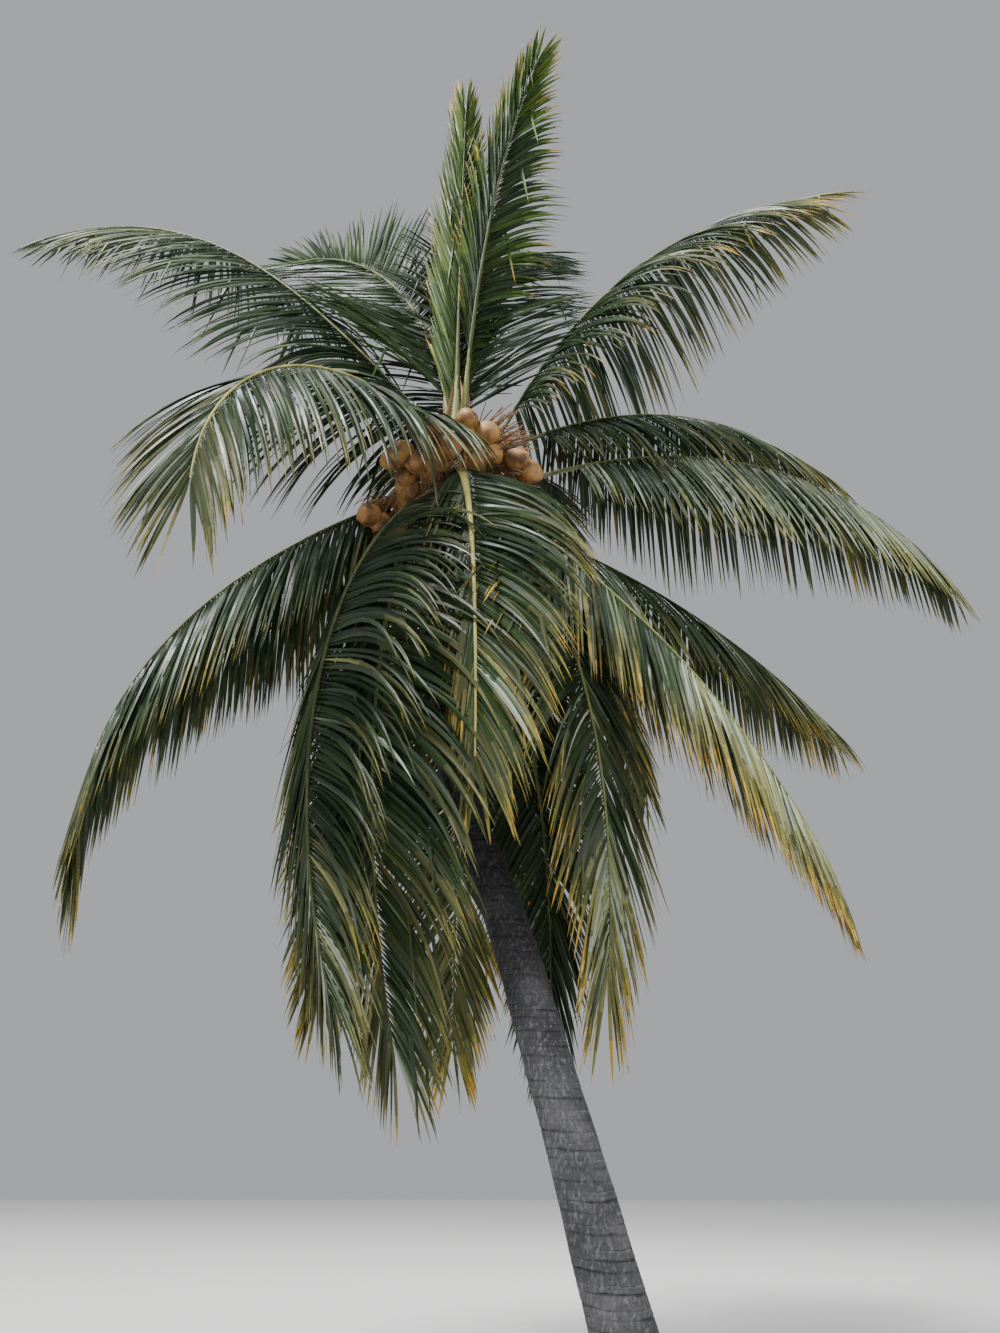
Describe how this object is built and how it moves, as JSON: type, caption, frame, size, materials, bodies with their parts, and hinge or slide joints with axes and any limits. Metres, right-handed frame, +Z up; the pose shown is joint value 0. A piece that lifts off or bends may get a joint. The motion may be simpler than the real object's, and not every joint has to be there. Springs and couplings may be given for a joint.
{
  "type": "coconut palm",
  "caption": "Coconut palm with a slender leaning ringed trunk, a full crown of arching and hanging feather fronds, and clusters of ripe orange-brown nuts.",
  "frame": {"origin": "middle of the flat cut under the trunk, at ground level", "axes": "+Z up; +X to the right and +Y away as the picture sees the palm, which leans towards -X and +Y"},
  "size_m": [8.5382, 6.2833, 11.2556],
  "materials": {
    "bark": "rough grey bark with close ring scars",
    "leaf_base": "fibrous brown and green leaf bases",
    "frond": "glossy leaflets on a pale yellow-green rib",
    "nut_husk": "smooth orange-brown husk",
    "flower_sheath": "dark maroon woody sheath"
  },
  "bodies": {
    "root": {"trunk": "bark", "crown_heart": "leaf_base", "frond_01": "frond", "frond_02": "frond", "frond_03": "frond", "frond_04": "frond", "frond_05": "frond", "frond_06_inner": "frond", "frond_06_outer": "frond", "frond_07": "frond", "frond_08": "frond", "frond_09_inner": "frond", "frond_09_outer": "frond", "frond_10_inner": "frond", "frond_10_outer": "frond", "frond_11": "frond", "frond_12_inner": "frond", "frond_12_outer": "frond", "frond_13": "frond", "frond_14": "frond", "frond_15": "frond", "frond_16": "frond", "frond_17_inner": "frond", "frond_17_outer": "frond", "frond_18": "frond", "frond_19_inner": "frond", "frond_19_outer": "frond", "frond_20_inner": "frond", "frond_20_outer": "frond", "frond_21": "frond", "frond_22": "frond", "frond_23_inner": "frond", "frond_23_outer": "frond", "frond_24": "frond", "frond_25": "frond", "bunch_left": "nut_husk", "bunch_front_left": "nut_husk", "bunch_front": "nut_husk", "bunch_right": "nut_husk", "bunch_back": "nut_husk", "bunch_back_left": "nut_husk", "flower_sheath": "flower_sheath"}
  },
  "joints": []
}
